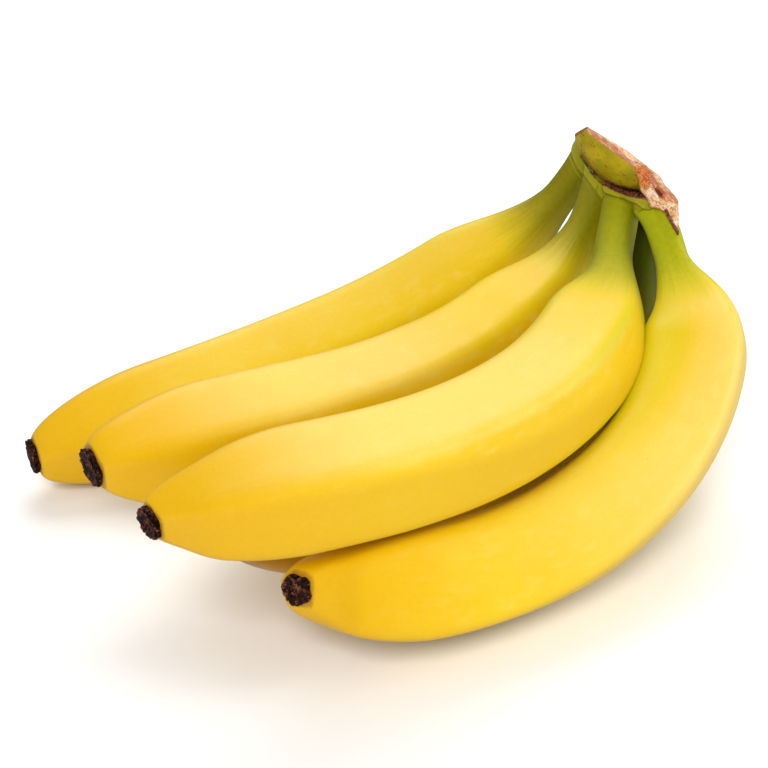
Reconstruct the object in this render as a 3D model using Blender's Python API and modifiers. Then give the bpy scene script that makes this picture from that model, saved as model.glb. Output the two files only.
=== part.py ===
"""A bunch of five bananas lying on its side: four fruits in the front row, one behind them.

Z is up, and the underside of the bunch is at z = 0. The stalks meet at the crown on the right,
the fruits fan out to the left and their dried blossom ends point left and towards the front.
"""

from math import cos, pi, radians, sin

import bmesh
import bpy
from mathutils import Matrix, Vector

MM = 0.001
GAP = 0.3 * MM  # left between pieces that touch

# Driving dimensions, in millimetres
STALK_RADIUS = 6.2
STALK_LENGTH = 34.0
STALK_EVEN = 0.55  # share of the stalk that keeps one radius
SHOULDER_LENGTH = 34.0  # from the end of the stalk to the full girth
SHOULDER_BULGE = 1.6  # the higher, the more slowly the stalk swells at first
TAPER_LENGTH = 42.0  # from the full girth to the blossom end
TAPER_BULGE = 0.75  # the lower, the blunter the end of the fruit
BLOSSOM_RADIUS = 4.9  # of the fruit where it meets its blossom end
BLOSSOM_PROFILE = ((0.0, 0.0), (4.3, 0.0), (5.1, 1.0), (4.9, 2.8), (4.1, 3.6), (2.2, 3.2),
                   (0.0, 2.4))  # (radius, height) of the dried stub, from its base to its dimple
BLOSSOM_SIDES = 14
FACE_DISTANCES = (1.0, 0.97, 1.02, 0.98, 1.01)  # of the five flat sides, as shares of the girth
CORNER_SHARPNESS = 5.0
PROFILE_SHARE = 0.95  # of the girth that the middle of a flat side lies at
RINGS = 26
STEPS_PER_RING = 8  # of the centreline's sum
SIDES = 15
SHARP_ANGLE = 50.0

CROWN_AT = Vector((80.3, 75.1, 84.0))  # middle of the row of stalk roots
CROWN_LENGTH = 54.0
CROWN_DEPTH = 22.0
CROWN_HEIGHT = 32.0
CROWN_ALONG = Vector((0.505, -0.838, -0.202))  # direction of the row of stalk roots
PAD_AT = (4.0, 1.0, 2.0)  # along the row, towards the back and up from the middle of the row
CUT_AT = (4.0, 0.0, 0.0)
CUT_LEAN = 53.0  # the flat cut face looks up and to the back, this far from straight up
CUT_DISTANCE = 8.5  # of the cut face from the row of stalk roots
SLAB_SIZE = (90.0, 90.0, 40.0)  # of the block that slices the crown
BULB_RADIUS = 7.6  # swelling round the root of each stalk
BULB_BACK = 1.5
SOCKET_RINGS = 5  # rings of each stalk that are cut clear of the crown
HOOK_AT = (27.0, 0.0, 9.0)
HOOK_LENGTH = 16.0
HOOK_RADII = (5.0, 0.8)
HOOK_LEAN = 0.2  # of the hook's tip along the row, against one straight down
CRUMB = 0.01 * MM  # vertices closer than this are one

# Each fruit: where its stalk meets the crown, then three directions given as (heading, rise) in
# degrees, which its centreline has at the root, bends through, and has at the blossom end
FRUITS = {
    "banana_1": dict(root=(-6, 17, 4), leave=(174, -69), turn=(-168, -11), end=(-150, -1),
                     length=222, girth=17.8, slack=0.68, turned=10),
    "banana_2": dict(root=(-2.5, 5, 2), leave=(-117, -64), turn=(-149, 18), end=(-147, 7),
                     length=224, girth=18.3, slack=0.85, turned=30),
    "banana_3": dict(root=(2.5, -8, -5), leave=(-98, -39), turn=(-107, 19), end=(-172, -1),
                     length=238, girth=18.2, slack=0.72, turned=50),
    "banana_4": dict(root=(10.3, -18, -1.5), leave=(-43, -37), turn=(-137, -16), end=(-162, 18),
                     length=231, girth=17.8, slack=0.82, turned=20),
    "banana_5": dict(root=(14, 3, -9.5), leave=(-62, -69), turn=(-125, -15), end=(-160, 30),
                     length=235, girth=17.0, slack=0.64, turned=0),
}


def direction(heading, rise):
    """Unit vector with a heading in the XY plane and a rise above it, both in degrees."""
    h, r = radians(heading), radians(rise)
    return Vector((cos(h) * cos(r), sin(h) * cos(r), sin(r)))


def make_material(name, colour, roughness):
    material = bpy.data.materials.new(name)
    material.diffuse_color = (*colour, 1.0)
    material.use_nodes = True
    shader = material.node_tree.nodes["Principled BSDF"]
    shader.inputs["Base Color"].default_value = (*colour, 1.0)
    shader.inputs["Roughness"].default_value = roughness
    shader.inputs["Metallic"].default_value = 0.0
    return material


def make_collection(name):
    collection = bpy.data.collections.new(name)
    bpy.context.scene.collection.children.link(collection)
    return collection


def hide(thing):
    """Mark an object as a guide or a cutter, which is not part of the bunch."""
    thing.hide_render = True
    thing.display_type = 'WIRE'


def centreline(fruit):
    """Points and headings along a fruit, in metres.

    The heading is a quadratic Bezier blend of the three directions, read at share ** slack, so
    that most of the bend comes close behind the stalk.
    """
    leave, turn, end = (direction(*fruit[key]) for key in ("leave", "turn", "end"))
    fine = STEPS_PER_RING * RINGS
    step = fruit["length"] * MM / fine
    point = (CROWN_AT + Vector(fruit["root"])) * MM
    points, headings = [point.copy()], [leave]
    for index in range(1, fine + 1):
        t = ((index - 0.5) / fine) ** fruit["slack"]
        heading = (leave * (1 - t) ** 2 + turn * (2 * t * (1 - t)) + end * t ** 2).normalized()
        point = point + heading * step
        if index % STEPS_PER_RING == 0:
            points.append(point.copy())
            headings.append(heading)
    return points, headings


def radius_at(distance, fruit):
    """Radius of a fruit in metres: a thin stalk, a shoulder, a full body and a tapered end."""
    start = STALK_EVEN * STALK_LENGTH
    rise = min(max((distance - start) / (SHOULDER_LENGTH + STALK_LENGTH - start), 0.0), 1.0)
    swelling = sin(pi / 2 * rise) ** SHOULDER_BULGE
    body = STALK_RADIUS + (fruit["girth"] - STALK_RADIUS) * swelling
    left = min(max((fruit["length"] - distance) / TAPER_LENGTH, 0.0), 1.0)
    fullness = sin(pi / 2 * left) ** TAPER_BULGE
    taper = BLOSSOM_RADIUS + (fruit["girth"] - BLOSSOM_RADIUS) * fullness
    return body * taper / fruit["girth"] * MM


def five_sided_profile(name, turned, guides):
    """Closed outline about one metre in radius: a pentagon with round corners and uneven sides."""
    curve = bpy.data.curves.new(name, 'CURVE')
    curve.dimensions = '3D'
    spline = curve.splines.new('POLY')
    spline.points.add(SIDES - 1)
    spline.use_cyclic_u = True
    for index, point in enumerate(spline.points):
        angle = 2 * pi * index / SIDES
        total = 0.0
        for face, distance in enumerate(FACE_DISTANCES):
            towards = cos(angle - radians(turned) - 2 * pi * face / 5)
            total += max(0.0, towards / distance) ** CORNER_SHARPNESS
        radius = PROFILE_SHARE * total ** (-1 / CORNER_SHARPNESS)
        point.co = (radius * cos(angle), radius * sin(angle), 0.0, 1.0)
    profile = bpy.data.objects.new(name, curve)
    guides.objects.link(profile)
    hide(profile)
    return profile


def tube_to_mesh(name, points, radii, profile, collection):
    """Sweep a profile along points with a radius at each, and return it as a welded mesh object."""
    curve = bpy.data.curves.new(name, 'CURVE')
    curve.dimensions = '3D'
    spline = curve.splines.new('POLY')
    spline.points.add(len(points) - 1)
    for point, place, radius in zip(spline.points, points, radii):
        point.co = (*place, 1.0)
        point.radius = radius
    curve.bevel_mode = 'OBJECT'
    curve.bevel_object = profile
    curve.use_fill_caps = True
    guide = bpy.data.objects.new(name + "_path", curve)
    collection.objects.link(guide)
    bpy.context.view_layer.update()
    evaluated = guide.evaluated_get(bpy.context.evaluated_depsgraph_get())
    mesh = bpy.data.meshes.new_from_object(evaluated)
    bpy.data.objects.remove(guide)
    work = bmesh.new()
    work.from_mesh(mesh)
    bmesh.ops.remove_doubles(work, verts=work.verts, dist=CRUMB)
    bmesh.ops.recalc_face_normals(work, faces=work.faces)
    work.to_mesh(mesh)
    work.free()
    mesh.shade_smooth()
    mesh.set_sharp_from_angle(angle=radians(SHARP_ANGLE))
    thing = bpy.data.objects.new(name, mesh)
    collection.objects.link(thing)
    return thing


def make_fruit(name, fruit, profile, bunch, material):
    points, headings = centreline(fruit)
    spacing = fruit["length"] / RINGS
    radii = [radius_at(index * spacing, fruit) for index in range(len(points))]
    body = tube_to_mesh(name, points, radii, profile, bunch)
    body.data.materials.append(material)
    return points[-1], headings[-1]


def make_blossom_end(name, tip, heading, bunch, material):
    """Dried flower end: a turned stub with a dimple, set off the fruit by the gap."""
    mesh = bpy.data.meshes.new(name)
    corners = [(radius * MM, 0.0, height * MM) for radius, height in BLOSSOM_PROFILE]
    edges = [(index, index + 1) for index in range(len(corners) - 1)]
    mesh.from_pydata(corners, edges, [])
    stub = bpy.data.objects.new(name, mesh)
    bunch.objects.link(stub)
    screw = stub.modifiers.new("turn", 'SCREW')
    screw.steps = BLOSSOM_SIDES
    screw.render_steps = BLOSSOM_SIDES
    screw.use_merge_vertices = True
    screw.merge_threshold = 0.05 * MM
    screw.use_normal_calculate = True
    stub.location = tip + heading * GAP
    stub.rotation_euler = heading.to_track_quat('Z', 'Y').to_euler()
    mesh.materials.append(material)
    return stub


def cut(thing, cutter, operation='DIFFERENCE'):
    boolean = thing.modifiers.new(cutter.name, 'BOOLEAN')
    boolean.operation = operation
    boolean.solver = 'EXACT'
    boolean.object = cutter
    hide(cutter)


def make_ball(name, size, place, turn, collection):
    """Ellipsoid with full sizes in metres."""
    mesh = bpy.data.meshes.new(name)
    work = bmesh.new()
    bmesh.ops.create_uvsphere(work, u_segments=28, v_segments=14, radius=0.5)
    bmesh.ops.transform(work, matrix=Matrix.Diagonal((*size, 1.0)), verts=work.verts)
    work.to_mesh(mesh)
    work.free()
    ball = bpy.data.objects.new(name, mesh)
    ball.matrix_world = Matrix.Translation(place) @ turn
    collection.objects.link(ball)
    return ball


def make_box(name, size, place, turn, collection):
    """Box with full sizes in millimetres."""
    mesh = bpy.data.meshes.new(name)
    work = bmesh.new()
    bmesh.ops.create_cube(work, size=MM)
    bmesh.ops.transform(work, matrix=Matrix.Diagonal((*size, 1.0)), verts=work.verts)
    work.to_mesh(mesh)
    work.free()
    box = bpy.data.objects.new(name, mesh)
    box.matrix_world = Matrix.Translation(place) @ turn
    collection.objects.link(box)
    return box


def make_cone(name, radii, length, place, collection):
    """Cone in millimetres, its wide end at the place and its axis along its own +Z."""
    mesh = bpy.data.meshes.new(name)
    work = bmesh.new()
    shift = Matrix.Translation((0, 0, length * MM / 2))
    bmesh.ops.create_cone(work, cap_ends=True, segments=12, radius1=radii[0] * MM,
                          radius2=radii[1] * MM, depth=length * MM, matrix=shift)
    work.to_mesh(mesh)
    work.free()
    cone = bpy.data.objects.new(name, mesh)
    cone.location = place
    collection.objects.link(cone)
    return cone


def keep_largest_body(thing):
    """Apply the modifiers and delete the crumbs that the cuts leave beside the main body."""
    bpy.context.view_layer.update()
    evaluated = thing.evaluated_get(bpy.context.evaluated_depsgraph_get())
    mesh = bpy.data.meshes.new_from_object(evaluated)
    work = bmesh.new()
    work.from_mesh(mesh)
    unseen = set(work.verts)
    bodies = []
    while unseen:
        body, edge_of_search = set(), [unseen.pop()]
        while edge_of_search:
            vert = edge_of_search.pop()
            body.add(vert)
            for edge in vert.link_edges:
                other = edge.other_vert(vert)
                if other in unseen:
                    unseen.remove(other)
                    edge_of_search.append(other)
        bodies.append(body)
    largest = max(bodies, key=len)
    crumbs = [vert for body in bodies if body is not largest for vert in body]
    bmesh.ops.delete(work, geom=crumbs, context='VERTS')
    bmesh.ops.remove_doubles(work, verts=work.verts, dist=CRUMB)
    work.to_mesh(mesh)
    work.free()
    thing.modifiers.clear()
    thing.data = mesh


def make_crown(profiles, bunch, cutters, material):
    """Woody cushion that the stalks grow from, sliced flat on top, with a torn hook at one end."""
    along = CROWN_ALONG.normalized()
    back = Vector((0, 0, 1)).cross(along).normalized()
    up = along.cross(back)
    turn = Matrix((along, back, up)).transposed()

    pad_size = (CROWN_LENGTH * MM, CROWN_DEPTH * MM, CROWN_HEIGHT * MM)
    pad_middle = (CROWN_AT + turn @ Vector(PAD_AT)) * MM
    crown = make_ball("crown", pad_size, pad_middle, turn.to_4x4(), bunch)
    crown.data.materials.append(material)

    lean = turn @ Matrix.Rotation(-radians(CUT_LEAN), 3, 'X')
    cut_away = lean @ Vector((0, 0, CUT_DISTANCE + SLAB_SIZE[2] / 2))
    slab_middle = (CROWN_AT + turn @ Vector(CUT_AT) + cut_away) * MM
    cut(crown, make_box("cut_face", SLAB_SIZE, slab_middle, lean.to_4x4(), cutters))

    hook_root = (CROWN_AT + turn @ Vector(HOOK_AT)) * MM
    hook = make_cone("hook", HOOK_RADII, HOOK_LENGTH, hook_root, cutters)
    hook.rotation_euler = (along * HOOK_LEAN - up).to_track_quat('Z', 'Y').to_euler()
    cut(crown, hook, 'UNION')

    bulb_size = (2 * BULB_RADIUS * MM,) * 3
    for name, fruit in FRUITS.items():
        points, headings = centreline(fruit)
        middle = points[0] - headings[0] * BULB_BACK * MM
        cut(crown, make_ball(name + "_bulb", bulb_size, middle, Matrix(), cutters), 'UNION')
    for name, fruit in FRUITS.items():
        points, headings = centreline(fruit)
        path = [points[0] - headings[0] * GAP] + points[1:SOCKET_RINGS]
        spacing = fruit["length"] / RINGS
        radii = [radius_at(index * spacing, fruit) + GAP for index in range(SOCKET_RINGS)]
        cut(crown, tube_to_mesh(name + "_socket", path, radii, profiles[name], cutters))
    keep_largest_body(crown)


def build():
    for thing in list(bpy.data.objects):
        bpy.data.objects.remove(thing)
    bunch = make_collection("bunch_of_bananas")
    guides = make_collection("guides")
    peel = make_material("banana_peel", (0.85, 0.58, 0.04), 0.45)
    dried = make_material("dried_flower", (0.045, 0.015, 0.008), 0.85)
    woody = make_material("crown_skin", (0.36, 0.33, 0.04), 0.6)
    profiles = {}
    for name, fruit in FRUITS.items():
        profiles[name] = five_sided_profile(name + "_profile", fruit["turned"], guides)
        tip, heading = make_fruit(name, fruit, profiles[name], bunch, peel)
        make_blossom_end(name.replace("banana", "blossom_end"), tip, heading, bunch, dried)
    make_crown(profiles, bunch, guides, woody)


build()
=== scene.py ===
import bpy
import numpy as np
from mathutils import Matrix, Vector


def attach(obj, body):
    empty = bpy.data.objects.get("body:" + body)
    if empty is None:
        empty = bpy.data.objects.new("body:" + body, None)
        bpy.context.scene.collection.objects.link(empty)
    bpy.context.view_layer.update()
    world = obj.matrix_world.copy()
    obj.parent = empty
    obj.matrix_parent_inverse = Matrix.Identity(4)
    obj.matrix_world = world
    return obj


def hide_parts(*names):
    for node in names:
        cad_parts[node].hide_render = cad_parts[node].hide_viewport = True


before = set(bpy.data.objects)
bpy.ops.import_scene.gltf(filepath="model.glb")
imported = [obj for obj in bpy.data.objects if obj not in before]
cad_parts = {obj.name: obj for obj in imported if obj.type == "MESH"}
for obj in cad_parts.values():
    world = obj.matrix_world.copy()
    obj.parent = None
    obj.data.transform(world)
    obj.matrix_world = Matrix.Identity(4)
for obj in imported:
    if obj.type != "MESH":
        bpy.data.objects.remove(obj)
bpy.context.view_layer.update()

mm = 0.001
fruitNames = sorted(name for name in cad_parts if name.startswith("banana_"))
print("frame loaded:", len(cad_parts), "nodes,", len(fruitNames), "fruits")


# Noise on whole arrays. The large odd numbers scatter the values of neighbouring corners.
cornerFactors, seedFactor = (73856093, 19349663, 83492791), 7919
mixers, wordMask = (1274126177, 2246822519), 0xffffffff


def latticeNoise(points, seed=0):
    # Smooth noise from -1 to 1. Each whole-number corner of space has a random value, hashed
    # from its three numbers, and the eight round a point are blended by 3t^2 - 2t^3 on each axis.
    cell = np.floor(points).astype(np.int64)
    part = points - cell
    part = part * part * (3 - 2 * part)
    total = np.zeros(points.shape[:-1])
    for corner in range(8):
        offset = np.array([corner & 1, corner >> 1 & 1, corner >> 2 & 1])
        at = cell + offset
        key = (at[..., 0] * cornerFactors[0] ^ at[..., 1] * cornerFactors[1]
               ^ at[..., 2] * cornerFactors[2] ^ (seed * seedFactor))
        key = (key ^ (key >> 13)) * mixers[0] & wordMask
        key = (key ^ (key >> 16)) * mixers[1] & wordMask
        value = (key >> 8 & 0xffff) / 32767.5 - 1
        total += value * np.prod(np.where(offset, part, 1 - part), axis=-1)
    return total


def layeredNoise(points, layers=3, seed=0):
    # Sum of noise at doubled scales and halved strengths, kept within about -1 to 1.
    total, strength = 0.0, 0.5
    for layer in range(layers):
        total = total + strength * latticeNoise(points * 2 ** layer, seed + 31 * layer)
        strength *= 0.5
    return total * 1.3  # up to about 1


def smoothStep(low, high, value):
    # 0 below low, 1 above high, and 3t^2 - 2t^3 between them.
    t = np.clip((value - low) / (high - low), 0, 1)
    return t * t * (3 - 2 * t)


def unit(vectors):
    return vectors / np.linalg.norm(vectors, axis=-1, keepdims=True)


def aim(heading, rise):
    # Unit vector with a heading in the XY plane and a rise above it, both in degrees.
    h, r = np.radians(heading), np.radians(rise)
    return np.array([np.cos(h) * np.cos(r), np.sin(h) * np.cos(r), np.sin(r)])


# Making meshes.
def makePiece(name, places, faces, values, material, node):
    # A mesh object at the origin, with one named number or vector at each vertex per value.
    mesh = bpy.data.meshes.new(name)
    mesh.from_pydata(places.tolist(), [], faces)
    for key, value in values.items():
        if value.ndim == 2:
            layer = mesh.attributes.new(key, 'FLOAT_VECTOR', 'POINT')
            layer.data.foreach_set("vector", value.astype(np.float32).ravel())
        else:
            layer = mesh.attributes.new(key, 'FLOAT', 'POINT')
            layer.data.foreach_set("value", value.astype(np.float32))
    mesh.shade_smooth()
    mesh.materials.append(material)
    piece = bpy.data.objects.new(name, mesh)
    bpy.context.scene.collection.objects.link(piece)
    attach(piece, "root")
    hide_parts(node)
    return piece


def tubeFaces(rings, sides):
    # Quads of a grid of rings that wraps round, and a fan at each end to a pole vertex.
    # The grid's vertices come first, ring by ring, then the first pole and the last pole.
    ring, side = np.meshgrid(np.arange(rings - 1), np.arange(sides), indexing="ij")
    after = (side + 1) % sides
    quads = np.stack([ring * sides + side, ring * sides + after,
                      (ring + 1) * sides + after, (ring + 1) * sides + side], axis=-1)
    side = np.arange(sides)
    after = (side + 1) % sides
    first, last = rings * sides, rings * sides + 1
    low = np.stack([np.full(sides, first), after, side], axis=-1)
    end = (rings - 1) * sides
    high = np.stack([np.full(sides, last), end + side, end + after], axis=-1)
    return quads.reshape(-1, 4).tolist() + low.tolist() + high.tolist()


# Shader sums.
class Wire:
    # A node's output. Sums on it add Math nodes.
    def __init__(self, finish, socket):
        self.finish, self.socket = finish, socket

    def sum(self, operation, *others):
        values = {index: other for index, other in enumerate((self,) + others)}
        return self.finish.add('ShaderNodeMath', {"operation": operation}, values)

    def __add__(self, other): return self.sum('ADD', other)
    def __radd__(self, other): return self.sum('ADD', other)
    def __sub__(self, other): return self.sum('SUBTRACT', other)
    def __rsub__(self, other): return (self * -1.0).sum('ADD', other)
    def __mul__(self, other): return self.sum('MULTIPLY', other)
    def __rmul__(self, other): return self.sum('MULTIPLY', other)
    def __truediv__(self, other): return self.sum('DIVIDE', other)
    def most(self, other): return self.sum('MAXIMUM', other)

    def step(self, low, high):
        # 0 below low, 1 above high, smooth between
        return self.finish.add('ShaderNodeMapRange', {"interpolation_type": 'SMOOTHSTEP'},
                               {"Value": self, "From Min": low, "From Max": high})


class Finish:
    # A material made of a Principled shader and whatever is added to feed it.
    def __init__(self, name, roughness=0.5):
        self.material = bpy.data.materials.new(name)
        self.material.use_nodes = True
        self.tree = self.material.node_tree
        self.shader = self.tree.nodes["Principled BSDF"]
        self.shader.inputs["Roughness"].default_value = roughness

    def add(self, kind, settings=None, values=None, output=0):
        # One node: its settings first, then its sockets' values or links; gives an output.
        node = self.tree.nodes.new(kind)
        for key, setting in (settings or {}).items():
            if key == "stops":
                ramp = node.color_ramp
                while len(ramp.elements) < len(setting):
                    ramp.elements.new(1.0)
                for element, (place, colour) in zip(ramp.elements, setting):
                    element.position = place
                    element.color = (*colour, 1.0)
            else:
                setattr(node, key, setting)
        for key, value in (values or {}).items():
            self.plug(self.socketOf(node, key), value)
        return Wire(self, node.outputs[output])

    @staticmethod
    def socketOf(node, key):
        # A socket by its number, by its identifier or else by its name.
        if isinstance(key, int):
            return node.inputs[key]
        for socket in node.inputs:
            if socket.identifier == key:
                return socket
        return node.inputs[key]

    def plug(self, socket, value):
        if isinstance(value, Wire):
            self.tree.links.new(value.socket, socket)
        elif socket.type == 'RGBA' and len(value) == 3:
            socket.default_value = (*value, 1.0)
        else:
            socket.default_value = value

    def number(self, name):
        return self.add('ShaderNodeAttribute', {"attribute_name": name}, output=2)

    def vector(self, name):
        return self.add('ShaderNodeAttribute', {"attribute_name": name}, output=1)

    def place(self):
        return self.add('ShaderNodeTexCoord', output=3)

    def noise(self, where, scale, detail=2.0, roughness=0.5):
        return self.add('ShaderNodeTexNoise', {"normalize": True},
                        {"Vector": where, "Scale": scale, "Detail": detail, "Roughness": roughness})

    def cells(self, where, scale):
        return self.add('ShaderNodeTexVoronoi', {"feature": 'F1'},
                        {"Vector": where, "Scale": scale})

    def stretch(self, where, by):
        return self.add('ShaderNodeVectorMath', {"operation": 'MULTIPLY'}, {0: where, 1: by})

    def mix(self, amount, first, second, blend='MIX'):
        return self.add('ShaderNodeMix', {"data_type": 'RGBA', "blend_type": blend},
                        {"Factor_Float": amount, "A_Color": first, "B_Color": second}, output=2)

    def ramp(self, amount, stops):
        return self.add('ShaderNodeValToRGB', {"stops": stops}, {"Fac": amount})

    def bump(self, height, distance, strength=1.0):
        return self.add('ShaderNodeBump', None,
                        {"Height": height, "Distance": distance, "Strength": strength})

    def feed(self, **sockets):
        for key, value in sockets.items():
            self.plug(self.shader.inputs[key.replace("_", " ")], value)
        return self.material


# The peels.
peel = dict(
    crownAt=(80.3, 75.1, 84.0),                # the middle of the row of roots
    stalkLength=34.0, stalkEven=0.55,          # the stalk, and the share of it that is even
    shoulderPower=1.6,                         # how slowly the shoulder swells
    taper=42.0, endFlare=0.35, rimRound=0.8,   # the narrowing end, its step past the stub, its rim
    endTilt=18.0, tuckLength=3.0,              # the stretches that turn square and that tuck in
    rings=320, sides=144, crowding=0.1,        # the grid, and how much closer its end rings are
    pathSteps=2080, poleOut=(1.0, 0.1),        # the path's steps, and how far each pole stands out
    # how sharp the edges are, where the end goes 0.6 of the way from the body's to the stalk's
    bodyEdge=10.0, stalkEdge=6.0, endEdge=0.6,
    edgeChange=(30.0, 62.0), endChange=(30.0, 4.0),  # where it changes, from each end
    fit=0.985, ridgeWidth=2.6,                 # the section's scale, and a ridge's half-width
    swellRound=1.3, swellLength=26.0, swellDeep=0.012,  # swellings, as a share of the radius
    gloss=0.26, roughness=0.42,
    ringAt=1.3, ringWidthSquared=6.0e-8)       # the ring under the collar, its width in square metres

# Each fruit. Its root is given from crownAt, and leave, turn, end and face are directions as
# (heading, rise): the path blends the first three, and the blossom end lies square to face.
#   slack: below 1 the path turns early
#   girth, stalk, stub: the largest radius, the stalk's and the end's
#   shoulder: how far past the stalk the girth is reached
#   blunt: the lower, the fuller the end
#   tuck: how far the first rings go back into the crown, or below 0 stop short of it
#   edges, drift, round: angles of the five ridges, their turn from end to end, and what is
#       taken off their sharpness
#   pushes: bends, as (where along it, how far the bend spreads, right, back, up)
#   collar, slant: where the crown's skin stops on the stalk, and the direction beyond it, as
#       across, up and out of the crown's front
#   green, hint: where the green stalk gives way, and how green the ridges stay
#   sideTonesAndPaintedLight: tones where the skin faces towards, by the dot product's range in edge,
#       and along span in metres as (begins, full, falls, done); fade dims the ridges there. Most are
#       painted light: pale painted highlights on sides that face up or right, and painted shade
#       on the third fruit's lower side; the fourth's left side gets a yellow-green tone
fruits = {
    "banana_1": dict(
        root=(-6, 17, 4), leave=(174, -69), turn=(-168, -11), end=(-150, -1), face=(-160, -4),
        length=222.7, slack=0.68, girth=17.8, shoulder=34, stalk=6.0, stub=5.5, blunt=0.56,
        tuck=-1, edges=(2, 76, 150, 222, 294), drift=0,
        pushes=((222, 45, -1.0, -0.9, -1.2), (185, 50, 0, -1.9, 1.1)),
        collar=(-12.1, 6.0, -10.0), slant=(-0.74, -0.50, -0.45),
        green=38, hint=0.3, stalkToneAndShade=(0.225, 0.190, 0.001),
        # painted highlight: paler where the skin faces up
        sideTonesAndPaintedLight=(dict(towards=(0, 0.3, 0.95), tone=(0.800, 0.600, 0.190), amount=0.22,
                    span=(-1, 0, 0.15, 0.21)),)),
    "banana_2": dict(
        root=(-2.5, 5, 2), leave=(-117, -64), turn=(-149, 18), end=(-147, 7), face=(-150, -5),
        length=224, slack=0.85, girth=18.3, shoulder=34, stalk=6.3, stub=5.9, blunt=0.54,
        tuck=-2, edges=(315, 384, 456, 528, 602), drift=-32,
        pushes=((224, 40, -0.4, -0.2, -0.5), (26, 12, -0.6, 0, 0)),
        collar=(-7.45, -1.2, 6.0), slant=(-0.78, -0.62, -0.10),
        green=36, hint=0.3, stalkToneAndShade=(0.235, 0.205, 0.001),
        # painted highlight: paler on the upward-facing top along the middle
        sideTonesAndPaintedLight=(dict(towards=(0, -0.2, 0.98), tone=(0.780, 0.610, 0.200), amount=0.32,
                    span=(0.08, 0.13, 0.18, 0.22), edge=(0.56, 0.80)),)),
    "banana_3": dict(
        root=(2.5, -8, -5), leave=(-98, -39), turn=(-107, 19), end=(-172, -1), face=(-143, -5),
        length=238, slack=0.72, girth=18.2, shoulder=34, stalk=6.5, stub=4.8, blunt=0.68,
        tuck=1.2, edges=(311, 388, 458, 528, 600), drift=-20,
        pushes=((238, 26, -0.7, -1.0, -1.7), (196, 24, 0, 0, 0.45), (16, 16, -1.6, 0, 0)),
        collar=(2.8, -5.3, 11.0), slant=(-0.36, -0.86, 0.35),
        green=49, hint=0.75, stalkToneAndShade=(0.335, 0.320, 0.002),
        # painted shade: deeper orange where the skin faces front and down
        sideTonesAndPaintedLight=(dict(towards=(0.1, -0.85, -0.5), tone=(0.600, 0.350, 0.001), amount=0.65,
                    span=(-1, 0, 0.3, 0.4), edge=(0.34, 0.62)),
               # painted highlight: paler on the upward-facing top along the middle
               dict(towards=(0, -0.2, 0.98), tone=(0.780, 0.610, 0.200), amount=0.36,
                    span=(0.06, 0.11, 0.19, 0.23), edge=(0.60, 0.80)))),
    "banana_4": dict(
        root=(10.3, -18, -1.5), leave=(-43, -37), turn=(-137, -16), end=(-162, 18),
        face=(-119, 17), length=231, slack=0.82, girth=17.8, shoulder=21, stalk=5.6, stub=4.5,
        blunt=0.60, tuck=1.5, edges=(21, 78, 138, 200, 277), drift=-80, round=4.0,
        pushes=((231, 40, -1.5, 0, -0.3), (110, 45, -1.9, 0, 0.4), (0, 20, 0.9, 0.35, 0.6),
                (22, 15, -2.8, 0, 0), (75, 28, -0.9, 0, 0)),
        collar=(10.3, -9.5, 14.7), slant=(0.61, -0.77, 0.17),
        green=33, hint=0.75, stalkToneAndShade=(0.370, 0.385, 0.002),
        # painted highlight: pale on the shoulder and right side, where the skin faces up and right
        sideTonesAndPaintedLight=(dict(towards=(0.85, 0, 0.52), tone=(0.800, 0.600, 0.190), amount=0.55,
                    span=(-1, 0, 0.10, 0.18), fade=1),
               dict(towards=(-0.85, 0.2, 0.5), tone=(0.500, 0.460, 0.002), amount=0.55,
                    span=(-1, 0, 0.07, 0.15)))),
    "banana_5": dict(
        root=(14, 3, -9.5), leave=(-62, -69), turn=(-125, -15), end=(-160, 30), face=(-160, 30),
        length=235, slack=0.64, girth=17.0, shoulder=34, stalk=6.7, stub=5.0, blunt=0.65,
        tuck=0, edges=(30, 102, 174, 246, 318), drift=-20,
        pushes=((225, 30, -1.5, -2.0, -2.6), (20, 20, -2.6, 0, 0), (124, 50, 0, 0, 1.1)),
        collar=(14.8, -9.1, -7.9), slant=(0.20, -0.96, -0.19),
        # the stalkToneAndShade here is nearly black: painted shade, as this stalk sits in the dark
        # gap between the others
        # the tipToneWithShade here is a dark brown-orange: painted shade over the ripe end, which
        # lies in the others' shade
        green=60, hint=0.75, stalkToneAndShade=(0.035, 0.042, 0.001), tipToneWithShade=(0.34, 0.115, 0.001)),
}
# How the crown lies: its row of roots, and its front given in the crown's own axes.
crownLie = dict(row=(0.505, -0.838, -0.202), frontRight=(0.582, 0.803, 0.127),
                frontOut=(0.619, -0.539, 0.570))


def crownAxes():
    # along the row of roots, towards the back, and up
    along = unit(np.array(crownLie["row"]))
    back = unit(np.cross([0.0, 0.0, 1.0], along))
    return np.array([along, back, np.cross(along, back)])


def crownFront():
    # across the front, up it and out of it, in the crown's own axes
    right = np.array(crownLie["frontRight"])
    out = np.array(crownLie["frontOut"])
    return np.array([right, np.cross(out, right), out])


def collarPlane(fruit):
    # where the crown's skin stops on the stalk: a point and the direction beyond it
    turn = crownFront() @ crownAxes()
    return np.array(fruit["collar"]) @ turn, unit(np.array(fruit["slant"])) @ turn


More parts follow.
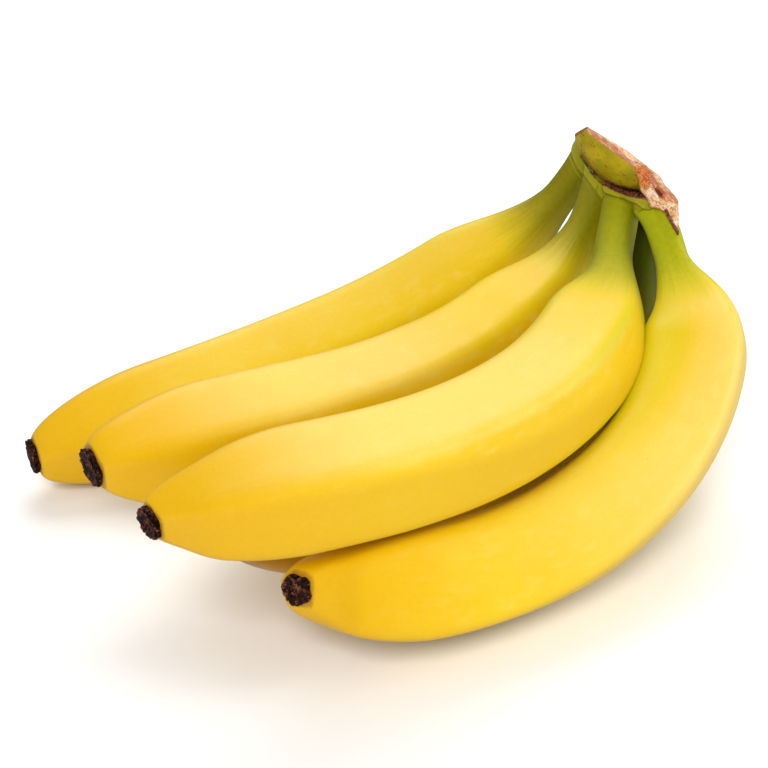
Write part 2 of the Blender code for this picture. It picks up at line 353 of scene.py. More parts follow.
def fruitPath(fruit):
    # Points every length/steps: the running sum of the heading, which is a quadratic blend
    # (1-t)^2 leave + 2t(1-t) turn + t^2 end made unit, read at t = share ** slack. A push adds
    # its move times exp(-(distance from it / spread)^2).
    steps = peel["pathSteps"]
    leave, turn, end = (aim(*fruit[key]) for key in ("leave", "turn", "end"))
    share = (np.arange(steps) + 0.5) / steps
    t = (share ** fruit["slack"])[:, None]
    heading = unit(leave * (1 - t) ** 2 + turn * 2 * t * (1 - t) + end * t ** 2)
    start = (np.array(peel["crownAt"]) + fruit["root"]) * mm
    hop = fruit["length"] * mm / steps
    points = start + np.vstack([np.zeros(3), np.cumsum(heading, axis=0) * hop])
    distance = np.linspace(0, fruit["length"], steps + 1)
    for at, spread, *push in fruit["pushes"]:
        points = points + np.exp(-((distance - at) / spread) ** 2)[:, None] * np.array(push) * mm
    return points, unit(np.gradient(points, axis=0))


def carriedFrame(ahead):
    # Two directions across each ring. At the middle ring the first points as near up as it can,
    # and it is carried from ring to ring both ways without turning about the path.
    first = np.zeros_like(ahead)
    half = len(ahead) // 2
    first[half] = unit(np.array([0.0, 0.0, 1.0]) - ahead[half] * ahead[half, 2])
    for ring in list(range(half + 1, len(ahead))) + list(range(half - 1, -1, -1)):
        last = first[ring - 1 if ring > half else ring + 1]
        first[ring] = unit(last - ahead[ring] * (last @ ahead[ring]))
    return first, np.cross(ahead, first)


def fruitRadius(distance, fruit):
    # Even stalk, then a power of a sine up the shoulder, and a blunter power down to the end.
    start = peel["stalkEven"] * peel["stalkLength"]
    full = fruit["shoulder"] + peel["stalkLength"]
    rise = np.clip((distance - start) / (full - start), 0, 1)
    swell = np.sin(np.pi / 2 * rise) ** peel["shoulderPower"]
    body = fruit["stalk"] + (fruit["girth"] - fruit["stalk"]) * swell
    left = np.clip((fruit["length"] - distance) / peel["taper"], 0, 1)
    end = fruit["stub"] + peel["endFlare"]
    taper = end + (fruit["girth"] - end) * np.sin(np.pi / 2 * left) ** fruit["blunt"]
    rim = np.clip(1 - (fruit["length"] - distance) / peel["rimRound"], 0, 1)
    return body * taper / fruit["girth"] - peel["rimRound"] * (1 - np.sqrt(1 - rim ** 2))


def softPolygon(angle, edges, sharpness):
    # Outline with rounded corners at the given angles: the sides' reach 1/cos from each side's
    # middle, blended by a power mean, and scaled to a mean radius of 1.
    corners = np.radians(np.array(edges, dtype=float))
    nextCorner = np.append(corners[1:], corners[0] + 2 * np.pi)
    middles = (corners + nextCorner) / 2
    reach = np.cos((nextCorner - corners) / 2) ** 0.5
    towards = np.maximum(np.cos(angle[..., None] - middles), 1e-6) / reach
    radius = np.sum(towards ** sharpness[..., None], axis=-1) ** (-1 / sharpness)
    return radius / radius.mean(axis=-1, keepdims=True)


def makePeel(name, material):
    # A profile carried along the path. Each ring is the soft polygon times the radius there:
    # place = path + (cos(angle) * outer + sin(angle) * side) * radius.
    fruit = fruits[name]
    points, heading = fruitPath(fruit)
    length, rings, sides = fruit["length"], peel["rings"], peel["sides"]
    share = np.linspace(0, 1, rings)
    share = share - peel["crowding"] * np.sin(2 * np.pi * share)
    distance = share * length
    spot, steps = share * (len(points) - 1), np.arange(len(points))
    middle = np.stack([np.interp(spot, steps, points[:, k]) for k in range(3)], -1)
    ahead = unit(np.stack([np.interp(spot, steps, heading[:, k]) for k in range(3)], -1))
    # the last rings tilt until they lie square to the blossom end
    tilt = smoothStep(length - peel["endTilt"], length, distance)[:, None]
    ahead = unit(ahead * (1 - tilt) + aim(*fruit["face"]) * tilt)
    outer, side = carriedFrame(ahead)
    tucked = np.clip(1 - distance / peel["tuckLength"], 0, 1)[:, None]
    middle = middle - ahead[0] * tucked * fruit["tuck"] * mm
    angle = np.broadcast_to(np.arange(sides) * 2 * np.pi / sides, (rings, sides))
    fromEdges = angle - np.radians(fruit["drift"] * (share[:, None] - 0.5))
    stalk = 1 - smoothStep(*peel["edgeChange"], distance)
    blunt = smoothStep(length - peel["endChange"][0], length - peel["endChange"][1], distance)
    edge = peel["bodyEdge"] - fruit.get("round", 0)
    sharp = edge + (peel["stalkEdge"] - edge) * np.maximum(stalk, peel["endEdge"] * blunt)
    section = softPolygon(fromEdges, fruit["edges"], np.broadcast_to(sharp[:, None], angle.shape))
    radius = fruitRadius(distance, fruit)[:, None] * peel["fit"] * section
    # slow swellings and shallow dents, under half a millimetre
    lookup = np.stack([np.cos(angle) * peel["swellRound"], np.sin(angle) * peel["swellRound"],
                       np.broadcast_to(distance[:, None] / peel["swellLength"], angle.shape)], -1)
    radius = radius * (1 + peel["swellDeep"] * layeredNoise(lookup, 2, seed=int(name[-1])))
    spread = np.cos(angle)[..., None] * outer[:, None] + np.sin(angle)[..., None] * side[:, None]
    grid = middle[:, None] + spread * radius[..., None] * mm
    # a pole just past each end ring closes the mesh
    firstOut, lastOut = peel["poleOut"]
    places = np.concatenate([grid.reshape(-1, 3), [middle[0] - ahead[0] * firstOut * mm],
                             [middle[-1] + ahead[-1] * lastOut * mm]])
    turn = fromEdges - np.radians(np.array(fruit["edges"]))[:, None, None]
    near = np.abs((turn + np.pi) % (2 * np.pi) - np.pi).min(axis=0)
    ridge = np.exp(-(near * radius / peel["ridgeWidth"]) ** 2)

    def withPoles(value, first, last):
        return np.concatenate([value.ravel(), [first, last]])

    along = np.broadcast_to(distance[:, None], angle.shape)
    values = {"along": withPoles(along, 0.0, length) * mm,
              "left": withPoles(length - along, length, 0.0) * mm,
              "ridge": withPoles(ridge, 0.0, 0.0),
              "sweep": np.concatenate([lookup.reshape(-1, 3), np.zeros((2, 3))])}
    # which way the skin faces, for the tints: painted highlights, painted shade and a yellow-green
    # side
    for index, tint in enumerate(fruit.get("sideTonesAndPaintedLight", ())):
        towards = np.array(tint["towards"], dtype=float)
        values[f"facing{index}"] = withPoles(spread @ towards, 0.0, 0.0)
    return makePiece(name.replace("banana", "peel"), places, tubeFaces(rings, sides), values,
                     material, name)


# The skin's colours, as linear red, green and blue.
peelTones = dict(
    deep=(0.700, 0.450, 0.003), bright=(0.730, 0.485, 0.007),    # the ground, in broad patches
    streak=(0.740, 0.520, 0.015), cloud=(0.740, 0.550, 0.080),   # paler, along it and in clouds
    hint=(0.520, 0.470, 0.002), ripe=(0.660, 0.365, 0.001),      # on the ridges, near the end
    grain=(0.960, 0.930, 0.800), stalkGrain=(0.72, 0.70, 0.60),  # multiplied in
    ripening=(0.70, 0.50, 0.006), stalkRidge=(0.10, 0.13, 0.002),
    ring=(0.46, 0.46, 0.06), rim=(0.22, 0.08, 0.01), dot=(0.35, 0.17, 0.02))


def peelFinish(name, fruit):
    # Yellow that drifts between a deep and a pale one, green up the stalk, brown at the tip.
    tones = peelTones
    finish = Finish(name.replace("banana", "peelSkin"), peel["roughness"])
    where, sweep = finish.place(), finish.vector("sweep")
    along, left, ridge = finish.number("along"), finish.number("left"), finish.number("ridge")
    broad = finish.noise(where, 26.0, 2.0)
    streak = finish.noise(finish.stretch(sweep, (9.0, 9.0, 1.1)), 1.0, 3.0, 0.6)
    fine = finish.noise(where, 900.0, 3.0, 0.6)
    cloud = finish.noise(finish.stretch(sweep, (3.5, 3.5, 3.5)), 1.0, 4.0, 0.6)
    yellow = finish.mix(broad.step(0.3, 0.7), tones["deep"], tones["bright"])
    yellow = finish.mix(streak.step(0.45, 0.8) * 0.2, yellow, tones["streak"])
    cloudy = (cloud + (fine - 0.5) * 0.2).step(0.48, 0.75)
    yellow = finish.mix(cloudy * 0.4, yellow, tones["cloud"])
    for index, tint in enumerate(fruit.get("sideTonesAndPaintedLight", ())):  # tints: painted highlights make some sides paler, painted shade makes one deeper, and the fourth's left side is yellow-green
        faced = finish.number(f"facing{index}") + (broad - 0.5) * 0.2
        faced = faced.step(*tint.get("edge", (0.1, 0.95)))
        begins, full, falls, done = tint["span"]
        spanned = along.step(begins, full) * (1.0 - along.step(falls, done))
        yellow = finish.mix(faced * spanned * tint["amount"], yellow, tint["tone"])
        if "fade" in tint:
            ridge = ridge * (1.0 - faced.step(0.0, 0.6))
    hint = ridge * (1.0 - along.step(0.050, 0.150)) * fruit["hint"]
    yellow = finish.mix(hint, yellow, tones["hint"])
    # orange near the end; a fruit's own tipToneWithShade, where given, is a darker one that paints
    # shade there
    ripe = 1.0 - (left + (broad - 0.5) * 0.02).step(0.004, 0.070)
    yellow = finish.mix(ripe * 0.85, yellow, fruit.get("tipToneWithShade", tones["ripe"]))
    yellow = finish.mix(fine.step(0.35, 0.65) * 0.5, yellow, tones["grain"], 'MULTIPLY')
    # the stalk's green, which ripens through four shades; a nearly black stalkToneAndShade stands for
    # painted shade
    reach = fruit["green"] * mm
    greenness = 1.0 - (along + (streak - 0.5) * 0.012).step(reach * 0.35, reach * 1.45)
    stalkToneAndShade, ripening = np.array(fruit["stalkToneAndShade"]), np.array(tones["ripening"])
    shades = [(place, tuple(ripening * (1.0 - part) + stalkToneAndShade * part))
              for place, part in ((0.0, 0.0), (0.3, 0.3), (0.7, 0.8), (1.0, 1.0))]
    green = finish.ramp(greenness, shades)
    green = finish.mix(ridge * 0.35 * greenness.step(0.2, 0.9), green, tones["stalkRidge"])
    grain = finish.noise(where, 650.0, 3.0, 0.6).step(0.35, 0.7)
    green = finish.mix(grain * 0.35 * greenness.step(0.2, 0.8), green, tones["stalkGrain"],
                       'MULTIPLY')
    colour = finish.mix(greenness.step(0.0, 0.3), yellow, green)
    # the peel has a pale raised ring just under the crown's collar
    collar, beyond = collarPlane(fruit)
    at = (np.array(peel["crownAt"]) + collar) @ beyond * mm
    ring = finish.add('ShaderNodeVectorMath', {"operation": 'DOT_PRODUCT'},
                      {0: where, 1: tuple(beyond)}, output=1)
    ring = ring - (at + peel["ringAt"] * mm) + (streak - 0.5) * 0.0012
    ring = (1.0 - (ring * ring) / peel["ringWidthSquared"]).most(0.0)
    ring = ring * greenness.step(0.8, 0.95)
    colour = finish.mix(ring * broad.step(0.3, 0.6) * 0.4, colour, tones["ring"])
    rim = 1.0 - (left + (fine - 0.5) * 0.0008).step(0.0001, 0.0006)
    colour = finish.mix(rim * 0.55, colour, tones["rim"])
    dots = 1.0 - finish.cells(where, 240.0).step(0.02, 0.12)
    rare = finish.noise(where, 120.0, 1.0).step(0.62, 0.72)
    colour = finish.mix(dots * rare * 0.5, colour, tones["dot"])
    rough = peel["roughness"] + 0.12 * (fine - 0.5) + 0.1 * (broad - 0.5) + greenness * 0.3
    height = fine * 0.25 + finish.noise(where, 260.0, 2.0) * 0.5 + streak * 0.4 + ring * 2.0
    finish.shader.inputs["Specular IOR Level"].default_value = peel["gloss"]
    return finish.feed(Base_Color=colour, Roughness=rough,
                       Normal=finish.bump(height, 0.00025, 0.35))


for name in fruitNames:
    makePeel(name, peelFinish(name, fruits[name]))
    print("peel made:", name)


# The blossom ends. The profile has a knot for each turn, with its reach as a share of the stub.
blossom = dict(
    sides=160, rings=90, deep=2.0, hollow=0.9, crumb=0.75, root=1.2, inside=1.5,
    knots=(0, 0.12, 0.3, 0.42, 0.55, 0.75, 1.0), reach=(0.80, 1, 1.03, 0.92, 0.72, 0.35, 0),
    gloss=0.2, tones=((0.0, (0.005, 0.001, 0.001)), (0.35, (0.035, 0.008, 0.004)),
                      (0.7, (0.110, 0.032, 0.015)), (1.0, (0.22, 0.09, 0.05))))


def makeBlossom(name, material):
    # A profile turned round the end's axis: out from the peel, over a rim and into a shallow
    # hollow. Coarse and fine noise then moves each point out from the stub's middle.
    fruit = fruits[name]
    points, _ = fruitPath(fruit)
    axis = aim(*fruit["face"])
    u = np.linspace(0, 1, blossom["rings"])
    wide, deep = fruit["stub"], blossom["deep"]
    sunk = deep - blossom["hollow"]
    reach = np.interp(u, blossom["knots"], np.array(blossom["reach"]) * wide)
    height = np.interp(u, blossom["knots"], [-blossom["root"], 0.0, 0.55 * deep, deep,
                                             0.92 * deep, sunk, sunk])
    angle = np.arange(blossom["sides"]) * 2 * np.pi / blossom["sides"]
    seed = int(name[-1]) * 17
    around = np.stack([np.cos(angle), np.sin(angle), np.full_like(angle, seed)], -1)
    lobed = 1 + 0.05 * np.cos(5 * angle + seed) + 0.07 * layeredNoise(around * 2.0, 2, seed)
    flat = reach[:, None] * lobed
    local = np.stack([flat * np.cos(angle), flat * np.sin(angle),
                      np.broadcast_to(height[:, None], flat.shape)], -1)
    out = unit(local - np.array([0, 0, 0.3 * deep]) + 1e-6)
    lumps = layeredNoise(local * 1.1, 3, seed)
    crease = 1 - np.abs(latticeNoise(local * 1.6 + 40, seed + 5)) * 2.2
    amount = blossom["crumb"] * (lumps - 0.7 * smoothStep(0.4, 1.0, crease))
    local = local + out * (amount * smoothStep(0.02, 0.25, u)[:, None])[..., None]
    first = unit(np.cross(axis, [0.0, 0.0, 1.0]))
    turn = np.stack([first, np.cross(axis, first), axis])
    places = points[-1] + (local.reshape(-1, 3) @ turn) * mm
    # the last ring has no reach, so one point at its middle stands for it
    inner = points[-1] - axis * blossom["inside"] * mm
    centre = places[-blossom["sides"]:].mean(axis=0)
    places = np.concatenate([places[:-blossom["sides"]], [inner, centre]])
    rings = blossom["rings"] - 1
    depth = np.concatenate([amount[:rings].ravel(), [0.0, 0.0]])
    inwards = np.broadcast_to(1 - reach[:rings, None] / wide, (rings, len(angle)))
    middle = np.concatenate([inwards.ravel(), [0.0, 1.0]])
    return makePiece(name.replace("banana", "driedFlower"), places,
                     tubeFaces(rings, blossom["sides"]), {"lump": depth, "middle": middle},
                     material, name.replace("banana", "blossom_end"))


def blossomFinish():
    # Nearly black in the hollows, and a warmer brown on the lumps.
    finish = Finish("driedFlower", 0.7)
    where = finish.place()
    lump, middle = finish.number("lump"), finish.number("middle")
    fine = finish.noise(where, 1500.0, 3.0, 0.65)
    tone = (lump * 0.9 + (fine - 0.5) * 1.6 + 0.35 + middle * 0.15).step(0.0, 1.0)
    colour = finish.ramp(tone, blossom["tones"])
    height = fine + finish.noise(where, 600.0, 2.0) * 0.8
    finish.shader.inputs["Specular IOR Level"].default_value = blossom["gloss"]
    return finish.feed(Base_Color=colour, Roughness=0.62 + (fine - 0.5) * 0.3,
                       Normal=finish.bump(height, 0.0005, 0.8))


driedFlower = blossomFinish()
for name in fruitNames:
    makeBlossom(name, driedFlower)
print("blossom ends made")


# The crown.
# Places are in millimetres from the middle of the row of roots, along the row, towards the
# back and up. The crown is the skin of a field: distances to simple shapes, blended.
crown = dict(
    step=0.4, low=(-26, -18, -20), high=(38, 24, 24), slabs=12,  # the grid that it is read on
    far=9.0,                                                     # the largest gap that is told
    core=((1.0, 3.0, 1.0), (21.0, 8.0, 8.0)),                    # an egg shape: middle, half-size
    back=((6.5, 13.5, -8.4), (4.0, 6.0, 2.0), 6.8, 7.5),         # a stick: ends and their radii
    # each neck: its skin over the stalk's, its knots along the stalk, and its start in the core
    collarRound=0.3, neckStops=(0, 4, 8, 12), neckLead=7.0, neckStart=2.5,
    gloss=0.3)
# These are across the crown's front, up it, and out of it where there is a third number. Those
# with two numbers lie as they look from a point that is away straight out from the front.
front = dict(
    away=882.0,
    padAt=(1.8, 10.7, 8.0), padSize=(17.0, 10.8, 8.0), padTurn=-42.2,
    cutTowards=(0.586, 0.781, 0.215), cutAt=(0.0, 10.4, 15.0),
    cutEdge=((-6.2, 15.6), (0.62, 0.787)),  # a point on the cut's lower edge, and the way into it
    skyline=((-13.1, 16.0), (-8.6, 18.6), (-2.3, 14.8), (2.3, 12.2), (8.5, 8.5), (11.5, 5.9),
             (16.9, 1.3), (19.0, -1.4), (21.9, -6.0), (22.2, -17.0), (30, -30), (-30, -30)),
    flesh=((7.1, 5.1), (7.9, 2.9), (8.8, -0.2), (9.2, -2.9), (11.5, -5.4), (12.3, -8.2),
           (15.5, -8.8), (17.0, -9.9), (18.6, -12.6), (21.7, -17.6), (25, -16), (25, 2),
           (14, 10)),
    # the torn lobe and the hook below it
    lobe=((9.5, 0.5, 9.5), (16.0, -8.0, 17.6), 6.2, 6.2),
    hook=((18, -9, 19.4), (21.8, -17.0, 23.0), 3.4, 1.0),
    groove=((-10.6, 8.8), (-8.2, 5.1), (-5.2, 1.8), (-2.6, -0.2), (1.4, -2.1), (5.4, -3.4),
            (9.1, -4.1), (11.5, -5.4)),
    grooveRound=(0.25, 0.35, 0.5, 0.75, 0.8, 1.0, 1.15, 0.2), grooveDeep=1.3,
    # the skin between the stalks, below the groove
    web=((-3.6, -0.8), (-2.9, -3.5), (2.4, -5.1), (7.7, -7.0), (10.4, -9.1), (13, -9.4),
         (13, -4), (9, -2), (2, -0.5)),
    webSpine=((-1, -2.5, 5.2), (6, -4.5, 6.4), (11, -7.5, 14.6)), webRound=6.1,
    # painted marks, as sticks with their radii. The pit and the eye are carved too
    pit=((14.2, -2.2), (16.0, -4.4), 0.35, 0.65), eye=((17.8, -9.4), (18.6, -10.8), 0.55, 0.5),
    pitDeep=0.8,
    channel=((18.4, -11.0), (21.8, -17.0), 0.55, 0.9),
    patch=((9.9, 4.2), (10.6, 0.4), 1.9, 2.2), streak=((11.8, 2.5), (16.3, -4.0), 1.4, 1.2),
    leftEnd=((-12.9, 15.6), (-8.8, 18.2), 0.5, 0.4))
markNames = ("pit", "eye", "channel", "patch", "streak", "leftEnd")


def stick(place, start, end, startRound, endRound):
    # Distance to a round stick that tapers from one radius to the other.
    start, end = np.array(start, dtype=float), np.array(end, dtype=float)
    run = end - start
    t = np.clip((place - start) @ run / (run @ run), 0, 1)
    near = np.linalg.norm(place - start - t[..., None] * run, axis=-1)
    return near - (startRound + (endRound - startRound) * t)


def ball(place, at, size):
    # Near enough the distance to an egg shape: (|p / size| - 1) times its shortest half-size.
    size = np.array(size, dtype=float)
    return (np.linalg.norm((place - np.array(at)) / size, axis=-1) - 1) * size.min()


def merge(first, second, soft):
    # The lesser of two fields, rounded where they differ by less than soft.
    t = np.clip(0.5 + 0.5 * (second - first) / soft, 0, 1)
    return second * (1 - t) + first * t - soft * t * (1 - t)


def trim(first, second, soft):
    # The greater of two fields, rounded likewise.
    return -merge(-first, -second, soft)


def outline(flat, corners):
    # Distance to a closed outline in two dimensions, negative inside it.
    corners = np.array(corners, dtype=float)
    near = np.full(flat.shape[:-1], 1e9)
    inside = np.zeros(flat.shape[:-1], dtype=bool)
    for a, b in zip(corners, np.roll(corners, -1, axis=0)):
        near = np.minimum(near, stick(flat, a, b, 0.0, 0.0))
        passes = (a[1] <= flat[..., 1]) != (b[1] <= flat[..., 1])
        crossing = a[0] + (flat[..., 1] - a[1]) * (b[0] - a[0]) / (b[1] - a[1] + 1e-9)
        inside ^= passes & (flat[..., 0] < crossing)
    return np.where(inside, -near, near)


def chain(place, knots, rounds):
    # Distance to a row of sticks, with a radius at each knot.
    return np.min([stick(place, a, b, aRound, bRound) for a, b, aRound, bRound
                   in zip(knots, knots[1:], rounds, rounds[1:])], axis=0)


def stalkNecks(place, core):
    # The core with the crown's skin carried down each stalk to its collar, and the distance
    # from each place to the nearest collar's edge.
    necks, ledge = core, np.full(place.shape[:-1], crown["far"])
    axes = crownAxes()
    for fruit in fruits.values():
        line = (fruitPath(fruit)[0] / mm - np.array(peel["crownAt"])) @ axes.T
        knots = [line[int(at / fruit["length"] * peel["pathSteps"])] for at in crown["neckStops"]]
        wide = fruit["stalk"] + crown["collarRound"]
        lead = knots[0] - unit(knots[1] - knots[0]) * crown["neckLead"]
        neck = chain(place, [lead] + knots, [crown["neckStart"]] + [wide] * len(knots))
        collar, towards = collarPlane(fruit)
        beyond = (place - collar @ axes.T) @ (axes @ towards) + 0.12 * latticeNoise(place * 0.5, 2)
        necks = merge(necks, trim(neck, beyond, 0.4), 1.2)
        ledge = np.where(neck < 1.0, np.minimum(ledge, np.abs(beyond + 0.4)), ledge)
    return necks, ledge


def crownField(place):
    # The field at each place, and the gaps to each mark and edge that the shader paints.
    f = front
    seen = place @ crownFront().T
    flat = seen[..., :2] * (f["away"] / (f["away"] - seen[..., 2:]))
    out = seen[..., 2]
    # the green pad, and the flat cut across it
    turn = np.radians(f["padTurn"])
    axes = np.array([[np.cos(turn), np.sin(turn), 0], [-np.sin(turn), np.cos(turn), 0], [0, 0, 1]])
    local = (np.concatenate([flat, seen[..., 2:]], -1) - np.array(f["padAt"])) @ axes.T
    grain = latticeNoise(local * np.array([0.3, 1.2, 1.2]), 5)
    pad = ball(local, (0, 0, 0), f["padSize"])
    padFlat = ball(local[..., :2], (0, 0), f["padSize"][:2])
    cut = (seen - np.array(f["cutAt"])) @ np.array(f["cutTowards"]) + 0.15 * grain
    cut = cut + 0.25 * latticeNoise(place * 0.2, 9)
    # the torn lobe of flesh and its hook
    flesh = outline(flat, f["flesh"]) + 0.15 * latticeNoise(place * 0.9, 21)
    lobe = merge(stick(seen, *f["lobe"]), stick(seen, *f["hook"]), 2.5)
    lobe = lobe + 0.35 * layeredNoise(place * 0.55, 3, 8)
    lobe = trim(lobe, flesh, 0.5)
    # the core, the necks and the web between them
    core = merge(ball(place, *crown["core"]), stick(place, *crown["back"]), 4.0)
    necks, ledge = stalkNecks(place, core)
    web = chain(seen, f["webSpine"], [f["webRound"]] * len(f["webSpine"]))
    webEdge = outline(flat, f["web"]) + 0.12 * latticeNoise(place * 0.7, 12)
    ledge = np.where(web < 1.0, np.minimum(ledge, np.abs(webEdge + 0.4)), ledge)
    necks = merge(necks, trim(web, webEdge, 0.4), 0.8)
    necks = trim(necks, -np.maximum(padFlat, 5 - out), 0.5)
    # all joined, then the groove, the pit and the eye carved, and the skyline trimmed
    groove = chain(flat, f["groove"], f["grooveRound"])
    body = merge(trim(necks, cut + 1.0, 1.0), trim(pad, cut, 0.4), 0.5)
    body = body + 0.2 * layeredNoise(place * 0.35, 3, 3)
    body = trim(body, -np.maximum(groove, -body - f["grooveDeep"]), 0.4)
    body = merge(body, trim(lobe, cut - 0.5, 0.6), 0.8)
    marks = {key: stick(flat, *f[key]) for key in markNames}
    holes = np.minimum(marks["pit"], marks["eye"])
    body = trim(body, -np.maximum(holes, -body - f["pitDeep"]), 0.3)
    body = trim(body, outline(flat, f["skyline"]), 0.4)
    # what is painted on the front alone counts as far away behind it
    behind = 30.0 * smoothStep(1.0, -1.0, out)
    edgeAt, edgeInto = np.array(f["cutEdge"])
    gaps = dict(pad=pad, cut=cut, flesh=flesh + 30.0 * smoothStep(-6.0, -8.0, out),
                groove=groove + behind, ledge=ledge, intoCut=(flat - edgeAt) @ edgeInto,
                **{key: gap + behind for key, gap in marks.items()})
    return body, gaps


def skinOfField(values):
    # Vertices: the mean of the zero crossings on the edges of each cell that has any.
    # Quads: one round each grid edge that the surface crosses, turned to face out.
    inside = values < 0
    shape = tuple(n - 1 for n in values.shape)
    total, count = np.zeros(shape + (3,)), np.zeros(shape)
    corners = [np.array([i, j, k]) for i in (0, 1) for j in (0, 1) for k in (0, 1)]

    def take(a, c):
        # each cell's value at one of its corners
        return a[c[0]:c[0] + shape[0], c[1]:c[1] + shape[1], c[2]:c[2] + shape[2]]

    for start in corners:
        for axis in range(3):
            if start[axis]:
                continue
            end = start.copy()
            end[axis] = 1
            low, high = take(values, start), take(values, end)
            crossed = take(inside, start) != take(inside, end)
            t = np.where(crossed, low / np.where(crossed, low - high, 1), 0)
            spot = start + np.zeros(shape + (3,))
            spot[..., axis] += t
            total += spot * crossed[..., None]
            count += crossed
    active = count > 0
    number = np.full(shape, -1)
    number[active] = np.arange(active.sum())
    places = np.argwhere(active) + total[active] / count[active][:, None]
    quads = []
    for axis in range(3):
        one, two = (axis + 1) % 3, (axis + 2) % 3
        head = [slice(1, -1)] * 3
        head[axis] = slice(0, values.shape[axis] - 1)
        tail = list(head)
        tail[axis] = slice(1, values.shape[axis])
        a, b = inside[tuple(head)], inside[tuple(tail)]
        at = np.argwhere(a != b)
        at[:, one] += 1
        at[:, two] += 1
        ring = []
        for stepOne, stepTwo in ((-1, -1), (0, -1), (0, 0), (-1, 0)):
            cell = at.copy()
            cell[:, one] += stepOne
            cell[:, two] += stepTwo
            ring.append(number[tuple(cell.T)])
        ring = np.stack(ring, axis=-1)
        outward = a[a != b]
        quads.append(np.where(outward[:, None], ring, ring[:, ::-1]))
    return places, np.concatenate(quads)


def makeCrown(material):
    low, high, step = np.array(crown["low"]), np.array(crown["high"]), crown["step"]
    lines = [np.arange(low[k], high[k], step) for k in range(3)]
    lattice = np.stack(np.meshgrid(*lines, indexing="ij"), axis=-1)
    slabs = np.array_split(lattice, crown["slabs"])
    values = np.concatenate([crownField(slab)[0] for slab in slabs])
    places, quads = skinOfField(values)
    local = low + places * step
    # the shader gets each gap as a number of millimetres, so its edges can be finer than the mesh
    far = crown["far"]
    gaps = {key: np.clip(gap, -far, far) for key, gap in crownField(local)[1].items()}
    gaps["grain"] = local * np.array([0.25, 1.0, 1.0]) * mm
    world = (np.array(peel["crownAt"]) + local @ crownAxes()) * mm
    return makePiece("crownCushion", world, quads.tolist(), gaps, material, "crown")


# The crown's colours, as linear red, green and blue.
crownTones = dict(
    padDull=(0.26, 0.210, 0.001), padBright=(0.40, 0.30, 0.003),
    neckDull=(0.22, 0.21, 0.001), neckBright=(0.33, 0.30, 0.003),
    nearRim=(0.20, 0.13, 0.004), freckle=(0.11, 0.03, 0.008), edging=(0.16, 0.06, 0.015),
    ledge=(0.50, 0.48, 0.06),
    flesh=((0.38, (0.28, 0.07, 0.014)), (0.45, (0.50, 0.21, 0.075)),
           (0.51, (0.68, 0.44, 0.25)), (0.62, (0.76, 0.62, 0.46))),
    lower=(0.34, 0.075, 0.014), orange=(0.56, 0.150, 0.010), rust=(0.22, 0.04, 0.006),
    streak=(0.30, 0.040, 0.008), border=(0.42, 0.12, 0.015), speck=(0.30, 0.07, 0.022),
    scabDark=(0.05, 0.014, 0.006), scabPale=(0.34, 0.12, 0.04), hollow=(0.11, 0.018, 0.007))


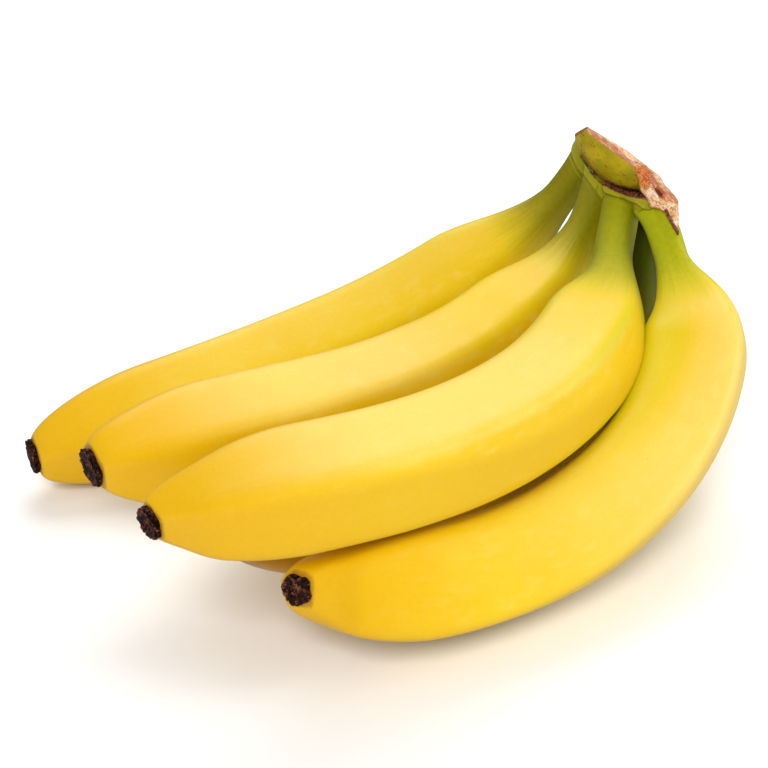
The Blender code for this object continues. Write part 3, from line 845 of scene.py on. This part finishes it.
def crownFinish():
    # Green skin with freckles and brown edges, raw flesh on the cut and the tear, dark scabs.
    tones = crownTones
    finish = Finish("crownSkin", 0.55)
    where, grain = finish.place(), finish.vector("grain")
    broad, fine = finish.noise(where, 160.0, 3.0), finish.noise(where, 1300.0, 3.0, 0.65)
    middling = finish.noise(where, 420.0, 3.0, 0.6)
    fibre = finish.noise(grain, 1500.0, 3.0, 0.65)
    ragged = (middling - 0.5) * 1.6 + (fine - 0.5) * 0.8

    def inside(key, soft=0.25, loose=1.0):
        # 1 within a mark, whose edge is soft and wanders by loose
        return 1.0 - (finish.number(key) + ragged * loose).step(-soft, soft)

    cut = (finish.number("cut") + 0.35).step(-0.12, 0.12)
    torn = 1.0 - finish.number("flesh").step(-0.1, 0.1)
    raw = cut.most(torn)
    groove = finish.number("groove")
    # the skin: brighter on the pad, brown by the groove
    skin = finish.mix(broad.step(0.35, 0.65), tones["padDull"], tones["padBright"])
    stalkSide = finish.number("pad").step(0.2, 0.8)
    padSide = 1.0 - stalkSide
    skin = finish.mix(stalkSide, skin, finish.mix(broad, tones["neckDull"], tones["neckBright"]))
    nearRim = (1.0 - (groove - 0.4).step(0.0, 2.5)) * padSide
    skin = finish.mix(nearRim * 0.45, skin, tones["nearRim"])
    freckle = 1.0 - (finish.cells(where, 1000.0) + (fine - 0.5) * 0.5).step(0.15, 0.40)
    freckle = freckle * (middling + nearRim * 0.3).step(0.44, 0.62) * padSide
    skin = finish.mix(freckle * 0.8, skin, tones["freckle"])
    edging = (1.0 - (groove + ragged * 0.6).step(0.3, 1.4)) * padSide
    skin = finish.mix(edging * 0.7, skin, tones["edging"])
    ledge = (1.0 - finish.number("ledge").step(0.05, 0.35)) * broad.step(0.3, 0.55)
    skin = finish.mix(ledge * (1.0 - nearRim) * 0.4, skin, tones["ledge"])
    # the flesh: pale fibres, redder low on the cut, with its patches, border and specks
    flesh = finish.ramp(fibre * 0.5 + middling * 0.5, tones["flesh"])
    lower = 1.0 - (finish.number("intoCut") + ragged * 1.4).step(0.4, 2.0)
    lower = lower * cut * (fibre.step(0.42, 0.56) * 0.7 + 0.2)
    flesh = finish.mix(lower, flesh, tones["lower"])
    rusty = finish.mix(fine.step(0.49, 0.55), tones["orange"], tones["rust"])
    flesh = finish.mix(inside("patch", 0.7) * 0.9, flesh, rusty)
    streak = inside("streak", 0.6) * fine.step(0.40, 0.52)
    flesh = finish.mix(streak * 0.9, flesh, tones["streak"])
    border = torn * (finish.number("flesh") + 0.45 + ragged * 0.2).step(-0.15, 0.25)
    flesh = finish.mix(border * 0.6, flesh, tones["border"])
    flesh = finish.mix(fine.step(0.56, 0.64) * 0.65, flesh, tones["speck"])
    colour = finish.mix(raw, skin, flesh)
    # scabs along the groove and on the left end, and the dark hollows
    scab = finish.mix(fine.step(0.42, 0.58), tones["scabDark"], tones["scabPale"])
    scabbed = (1.0 - (groove + ragged * 0.35 - 0.40).step(-0.15, 0.15)) * (1.0 - torn)
    colour = finish.mix(scabbed.most(inside("leftEnd", 0.15, 0.4)), colour, scab)
    hollow = inside("pit", 0.2, 0.4).most(inside("eye", 0.15, 0.2))
    hollow = hollow.most(inside("channel", 0.3, 0.5))
    colour = finish.mix(hollow * 0.85, colour, tones["hollow"])
    height = fine * 0.5 + raw * (fibre + middling) * 0.7 + broad * 0.3 + ledge * 0.5
    finish.shader.inputs["Specular IOR Level"].default_value = crown["gloss"]
    return finish.feed(Base_Color=colour, Roughness=0.5 + raw * 0.15,
                       Normal=finish.bump(height, 0.0005, 0.6))


makeCrown(crownFinish())
print("crown made")


# Floor, light and camera. The floor and the lights are in metres and watts, the camera's place
# in millimetres.
studio = dict(
    floor=(0.93, 0.93, 0.93), floorHalf=3.0, sky=0.46,
    keyAt=(0.06, 0.74, 0.95), keySize=0.9, keyPower=9.1,
    fillAt=(-0.15, -1.1, 0.95), fillSize=0.45, fillPower=13.3,
    sideAt=(1.2, -0.1, 0.4), sideSize=0.8, sidePower=7.0,
    cameraAt=(1.61, -716.07, 466.11), lens=122.95,
    cameraBack=(0.0, -0.866, 0.5), cameraRight=(0.99939, -0.01745, -0.03022))


def makeFloor():
    mesh = bpy.data.meshes.new("floor")
    half = studio["floorHalf"]
    corners = [(-half, -half, 0), (half, -half, 0), (half, half, 0), (-half, half, 0)]
    mesh.from_pydata(corners, [], [(0, 1, 2, 3)])
    mesh.materials.append(Finish("paleFloor", 0.8).feed(Base_Color=studio["floor"]))
    floor = bpy.data.objects.new("floor", mesh)
    bpy.context.scene.collection.objects.link(floor)
    floor.visible_glossy = False


def makeLight(name, place, size, power):
    # a square lamp that points at the origin
    light = bpy.data.lights.new(name, 'AREA')
    light.size, light.energy = size, power
    lamp = bpy.data.objects.new(name, light)
    lamp.location = place
    lamp.rotation_euler = (-Vector(place)).to_track_quat('-Z', 'Y').to_euler()
    bpy.context.scene.collection.objects.link(lamp)
    return lamp


def makeCamera():
    # It looks away from back, and its right hand dips a little, which gives a slight roll.
    right = Vector(studio["cameraRight"]).normalized()
    back = Vector(studio["cameraBack"]).normalized()
    right = (right - back * right.dot(back)).normalized()
    up = back.cross(right)
    camera = bpy.data.objects.new("camera", bpy.data.cameras.new("camera"))
    camera.data.lens = studio["lens"]
    turn = Matrix((right, up, back)).transposed().to_4x4()
    camera.matrix_world = Matrix.Translation(Vector(studio["cameraAt"]) * mm) @ turn
    bpy.context.scene.collection.objects.link(camera)
    bpy.context.scene.camera = camera


world = bpy.data.worlds.new("studio")
world.use_nodes = True
sky = world.node_tree.nodes["Background"]
sky.inputs["Color"].default_value = (1, 1, 1, 1)
sky.inputs["Strength"].default_value = studio["sky"]
bpy.context.scene.world = world
bpy.context.scene.view_settings.view_transform = 'Standard'
makeFloor()
makeLight("key", studio["keyAt"], studio["keySize"], studio["keyPower"])
fill = makeLight("fill", studio["fillAt"], studio["fillSize"], studio["fillPower"])
fill.visible_glossy = False  # it only lifts the shade, with no sheen of its own
makeLight("side", studio["sideAt"], studio["sideSize"], studio["sidePower"])
makeCamera()
print("stage, lights and camera made")
